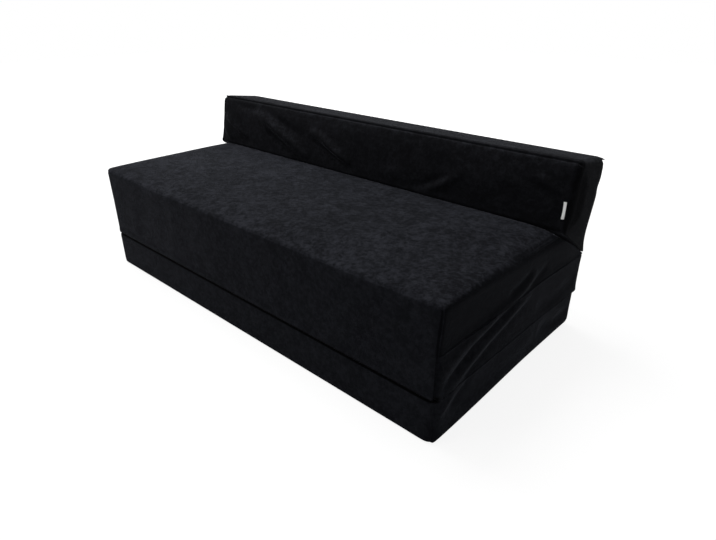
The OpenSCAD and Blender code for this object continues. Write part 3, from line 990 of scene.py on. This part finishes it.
def new_group(name, inputs, outputs):
    group = bpy.data.node_groups.new(name, "ShaderNodeTree")
    for label, default in inputs:
        socket = group.interface.new_socket(label, in_out="INPUT", socket_type="NodeSocketFloat")
        socket.default_value = default
    for label in outputs:
        group.interface.new_socket(label, in_out="OUTPUT", socket_type="NodeSocketFloat")
    return group, group.nodes.new("NodeGroupInput").outputs, group.nodes.new("NodeGroupOutput")


def use_group(tree, group, **values):
    made = node(tree, "Group", node_tree=group)
    set_inputs(made, **values)
    return made.outputs


# Painted light: the lightness of the upright faces, from which the level faces and the ends are set apart.
FRONT_SHARE = 0.22


def nap_and_painted_light_group():
    """Short brushed pile: light and dark patches, stronger on the level faces, and a height for the pile.
    With the patches goes painted light and shade: the level faces and the ends get their own lightness
    by the way they face. The shares say how light the level faces and the ends are; the upright faces have
    FRONT_SHARE."""
    group, given, result = new_group("brushed_nap_and_painted_light", [
        ("Patch scale", 92.0), ("Pile scale", 950.0), ("Level share", 0.36), ("End share", FRONT_SHARE)],
        ["Patches", "Pile"])
    texture = node(group, "TexCoord")
    places = texture.outputs["Object"]
    layers = 0.0
    for weight, *values in ((0.13, 5.0, 2.0, 0.5), (0.27, 30.0, 3.0, 0.65),
                            (0.60, given["Patch scale"], 5.0, 0.78, 0.35)):
        layer = calculate(group, "MULTIPLY", add_noise(group, places, *values), weight)
        layers = calculate(group, "ADD", layer, layers)
    patches = spread(group, layers, 0.412, 0.655)
    facing = split_axes(group, texture.outputs["Normal"])
    level, ending = (calculate(group, "ABSOLUTE", facing[axis]) for axis in ("Z", "X"))
    strong = spread(group, level, 0.2, 0.85, 0.42, 1.0)
    # Painted light and shade: each face gets a lightness by the way it faces, lightest on the level faces.
    share = FRONT_SHARE
    for mask, label in ((spread(group, level, 0.2, 0.85), "Level share"),
                        (spread(group, ending, 0.4, 0.9), "End share")):
        more = calculate(group, "SUBTRACT", given[label], FRONT_SHARE)
        share = calculate(group, "ADD", calculate(group, "MULTIPLY", mask, more), share)
    swing = calculate(group, "MULTIPLY", calculate(group, "SUBTRACT", patches, 0.34), strong)
    set_inputs(result, Patches=calculate(group, "ADD", swing, share),
               Pile=add_noise(group, places, given["Pile scale"], 2.0, 0.5))
    return group


def painted_fold_shade_group():
    """Painted shade of the open fold on the front, a dark band in the colour: 0 at the fold's height, 1 away
    from it.
    """
    group, given, result = new_group("painted_fold_shade", [("Height", OPEN_FOLD_Z), ("Reach", 0.005)], ["Clear"])
    _, y, z = split_axes(group, object_places(group))
    away = calculate(group, "ABSOLUTE", calculate(group, "SUBTRACT", z, given["Height"]))
    clear = spread(group, calculate(group, "DIVIDE", away, given["Reach"]), 0.55, 1.0)
    behind = spread(group, y, -0.286, -0.276)
    set_inputs(result, Clear=calculate(group, "MAXIMUM", clear, behind))
    return group


def weave_group():
    """Plain weave: a height that goes over and under along two of the object's axes."""
    group, given, result = new_group("plain_weave", [("Threads", 900.0)], ["Height"])
    x, y, z = (calculate(group, "SINE", calculate(group, "MULTIPLY", place, given["Threads"]))
               for place in split_axes(group, object_places(group)))
    pair = calculate(group, "ADD", calculate(group, "MULTIPLY", x, z), calculate(group, "MULTIPLY", y, z))
    set_inputs(result, Height=spread(group, pair, -1.2, 1.2))
    return group


def add_bump(tree, shader, height, distance, strength=1.0):
    made = node(tree, "Bump")
    set_inputs(made, Height=height, Distance=distance, Strength=strength)
    set_inputs(shader, Normal=made.outputs["Normal"])


# Painted shade: the black of the open fold's painted shadow.
PAINTED_FOLD_SHADE_BLACK = (0.0002, 0.0002, 0.0003)


def velour(name, dark, light, sheen=0.13, beside=None, **shares):
    """Black velour: brushed patches with painted light and shade by facing in the colour, a fine pile and a
    soft sheen. beside gives the height and the reach of an open fold, whose shade is painted into the colour
    as a black band."""
    material, tree, shader = new_material(name, Roughness=0.92, Sheen_Weight=sheen, Sheen_Roughness=0.24,
                                          Sheen_Tint=(0.80, 0.85, 1.0, 1), Specular_IOR_Level=0.04)
    pile = use_group(tree, nap_and_painted_light, **shares)
    colour = mix_colours(tree, pile["Patches"], dark, light)
    # Painted shade: the colour goes black in the open fold, where its shadow falls.
    if beside:
        shade = use_group(tree, painted_fold_shade, Height=beside[0], Reach=beside[1])
        colour = mix_colours(tree, shade["Clear"], PAINTED_FOLD_SHADE_BLACK, colour)
    set_inputs(shader, Base_Color=colour)
    height = calculate(tree, "ADD", calculate(tree, "MULTIPLY", pile["Patches"], 0.6),
                       calculate(tree, "MULTIPLY", pile["Pile"], 0.55))
    add_bump(tree, shader, height, 0.0016, 0.55)
    return material


def woven(name, dark, light, threads, roughness=0.8, bump=0.0002):
    material, tree, shader = new_material(name, Roughness=roughness, Specular_IOR_Level=0.15)
    height = use_group(tree, weave, Threads=threads)["Height"]
    set_inputs(shader, Base_Color=mix_colours(tree, height, dark, light))
    add_bump(tree, shader, height, bump)
    return material


def worn_hard(name, noise_values, edges, dark, light, gloss, bump, **values):
    """Nylon or metal: worn places are lighter and rougher."""
    material, tree, shader = new_material(name, **values)
    worn = spread(tree, add_noise(tree, object_places(tree), *noise_values), *edges)
    set_inputs(shader, Base_Color=mix_colours(tree, worn, dark, light),
               Roughness=spread(tree, worn, 0, 1, *gloss))
    add_bump(tree, shader, worn, bump)
    return material


def open_foam(name):
    material, tree, shader = new_material(name, Roughness=0.95)
    cells = node(tree, "TexVoronoi")
    set_inputs(cells, Vector=object_places(tree), Scale=620.0)
    pores = spread(tree, cells.outputs["Distance"], 0.05, 0.55)
    set_inputs(shader, Base_Color=mix_colours(tree, pores, (0.55, 0.47, 0.28), (0.80, 0.73, 0.52)))
    add_bump(tree, shader, pores, 0.0006)
    return material


nap_and_painted_light, weave, painted_fold_shade = nap_and_painted_light_group(), weave_group(), painted_fold_shade_group()
PILE = (0.0026, 0.0029, 0.0040), (0.0190, 0.0200, 0.0252)
finishes = {
    # End_share paints light and shade on the ends: the base's end lighter, the seat's and backrest's darker.
    "cover_fabric": velour("cover_velour", *PILE, beside=(0.0995, 0.0050), End_share=0.40),
    "middle_fabric": velour("middle_velour", *PILE, beside=(0.1045, 0.0080)),
    "seat_fabric": velour("seat_velour", *PILE, beside=(0.1045, 0.0035), End_share=-0.12),
    # Painted shade: the backrest's velour is a darker copy of the same cloth.
    "backrest_fabric": velour("backrest_velour_painted_darker", (0.0018, 0.0019, 0.0024), (0.0125, 0.0131, 0.0162), 0.066,
                              End_share=0.0),
    "panel_fabric": velour("panel_velour", (0.0030, 0.0031, 0.0037), (0.0150, 0.0156, 0.0190), 0.08),
    "foam": open_foam("open_cell_foam"),
    "zip_tape": woven("zip_tape_weave", (0.0030, 0.0030, 0.0034), (0.0100, 0.0100, 0.0112), 5200.0),
    "zip_coil": worn_hard("zip_coil_nylon", (240.0,), (0.35, 0.7), (0.018, 0.018, 0.020),
                          (0.045, 0.045, 0.050), (0.32, 0.5), 0.0001),
    "slider_metal": worn_hard("zip_metal", (420.0, 4.0, 0.6), (0.4, 0.66), (0.07, 0.07, 0.075),
                              (0.16, 0.16, 0.17), (0.28, 0.42), 0.00005, Metallic=1.0),
    "label_cloth": woven("label_satin", (0.74, 0.74, 0.73), (0.86, 0.86, 0.85), 9000.0, 0.5, 0.00008),
}


def paint(piece, finish):
    piece.data.materials.clear()
    piece.data.materials.append(finishes[finish])


PART_FINISHES = {"foam": "foam", "zip_tape": "zip_tape", "zip_coil": "zip_coil", "zip_slider": "slider_metal",
                 "zip_pull": "slider_metal"}
PANELS = ("front_hinge_panel", "rear_hinge_panel", "front_hinge_seam", "rear_hinge_seam",
          "backrest_hinge_strip", "backrest_top_welts")
for pad in PADS:
    for part, finish in PART_FINISHES.items():
        paint(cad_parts[f"{pad}_{part}"], finish)
for part in PANELS:
    paint(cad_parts[part], "panel_fabric")
paint(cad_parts["blank_label"], "label_cloth")

covers = {
    "base": add_cover(base_block, finish_base, "base", over=("base", "middle", OPEN_FOLD_Z)),
    "middle": add_cover(middle_block, finish_middle, "middle"),
    "seat": add_cover(seat_block, finish_seat, "seat", over=("middle", "seat", FRONT_HINGE_Z)),
    "backrest": add_cover(backrest_block, finish_backrest, "backrest"),
}
for pad, finish in zip(PADS, ("cover_fabric", "middle_fabric", "seat_fabric", "backrest_fabric")):
    paint(covers[pad], finish)
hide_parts("rear_hinge_panel", "rear_hinge_seam")
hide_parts("front_hinge_panel", "front_hinge_seam")
paint(add_welts(covers["backrest"]), "panel_fabric")
paint(add_hinge_strip(), "panel_fabric")
paint(add_label(covers["backrest"]), "label_cloth")
for pad in PADS:
    add_zip(pad)


# Camera, floor and light

WHITE = (1, 1, 1, 1)
LIGHT_FROM = (-0.70, -0.10, 0.71)

# The camera was fitted to the photo. Its angles say where it stands, seen from the object
CAMERA_NAME = "view_of_the_photo"
CAMERA_PLACE = (1.0250, -0.9612, 0.7559)
CAMERA_AZIMUTH, CAMERA_ELEVATION = math.radians(42.676), math.radians(26.421)
CAMERA_LENS = 27.84


def put_in_scene(name, data, place, way):
    """Adds a camera or a lamp at a place, looking a way."""
    made = bpy.data.objects.new(name, data)
    bpy.context.scene.collection.objects.link(made)
    made.location = place
    made.rotation_mode = "QUATERNION"
    made.rotation_quaternion = way.to_track_quat("-Z", "Y")
    return made


def place_camera():
    data = bpy.data.cameras.new(CAMERA_NAME)
    data.sensor_width = 36
    data.lens = CAMERA_LENS
    level = math.cos(CAMERA_ELEVATION)
    back = Vector((math.sin(CAMERA_AZIMUTH) * level, -math.cos(CAMERA_AZIMUTH) * level,
                   math.sin(CAMERA_ELEVATION)))
    bpy.context.scene.camera = put_in_scene(CAMERA_NAME, data, CAMERA_PLACE, -back)


def add_lamp(name, place, target, size, power):
    data = bpy.data.lights.new(name, "AREA")
    data.shape = "RECTANGLE"
    data.size, data.size_y = size
    data.energy = power
    put_in_scene(name, data, place, Vector(target) - Vector(place))


def empty_tree(owner):
    owner.use_nodes = True
    owner.node_tree.nodes.clear()
    return owner.node_tree


def mix_shaders(tree, share, first, second, output):
    """Ends a world or a material in a mix of two shaders."""
    mix = node(tree, "MixShader")
    for socket, value in zip(mix.inputs, (share, first.outputs[0], second.outputs[0])):
        feed(socket, value)
    set_inputs(node(tree, output), Surface=mix.outputs[0])


def light_world():
    """Soft light, stronger from the upper left. What the camera and reflections see of the world is white."""
    world = bpy.data.worlds.new("studio")
    bpy.context.scene.world = world
    tree = empty_tree(world)
    seen, soft = node(tree, "Background"), node(tree, "Background")
    above = node(tree, "VectorMath", operation="DOT_PRODUCT")
    feed(above.inputs[0], node(tree, "TexCoord").outputs["Generated"])
    feed(above.inputs[1], LIGHT_FROM)
    set_inputs(soft, Color=WHITE, Strength=spread(tree, above.outputs["Value"], -0.6, 1.0, 0.03, 0.66))
    set_inputs(seen, Color=WHITE, Strength=1)
    path = node(tree, "LightPath").outputs
    either = calculate(tree, "MAXIMUM", path["Is Camera Ray"], path["Is Glossy Ray"])
    mix_shaders(tree, either, soft, seen, "OutputWorld")


def lay_floor():
    """A pale matt floor, lightened for the camera so that its edge doesn't show and the shadow does."""
    bpy.ops.mesh.primitive_plane_add(size=14, location=(0, 0, -0.001))
    floor = bpy.context.object
    floor.name = "floor"
    material = bpy.data.materials.new("pale_floor")
    tree = empty_tree(material)
    matt, seen = node(tree, "BsdfDiffuse"), node(tree, "Emission")
    set_inputs(matt, Color=(0.55, 0.55, 0.55, 1))
    reach = node(tree, "VectorMath", operation="LENGTH")
    feed(reach.inputs[0], object_places(tree))
    set_inputs(seen, Color=WHITE, Strength=spread(tree, reach.outputs["Value"], 0.9, 2.4, 1.34, 1.8))
    share = calculate(tree, "MULTIPLY", node(tree, "LightPath").outputs["Is Camera Ray"], 0.65)
    mix_shaders(tree, share, matt, seen, "OutputMaterial")
    floor.data.materials.append(material)


place_camera()
light_world()
lay_floor()
add_lamp("top_light", (-1.0, 0.1, 2.4), (-0.2, 0, 0.2), (1.8, 1.8), 56)
add_lamp("front_light", (-1.2, -2.6, 1.6), (0, 0, 0.2), (1.6, 1.2), 14)
bpy.context.scene.view_settings.view_transform = "Standard"
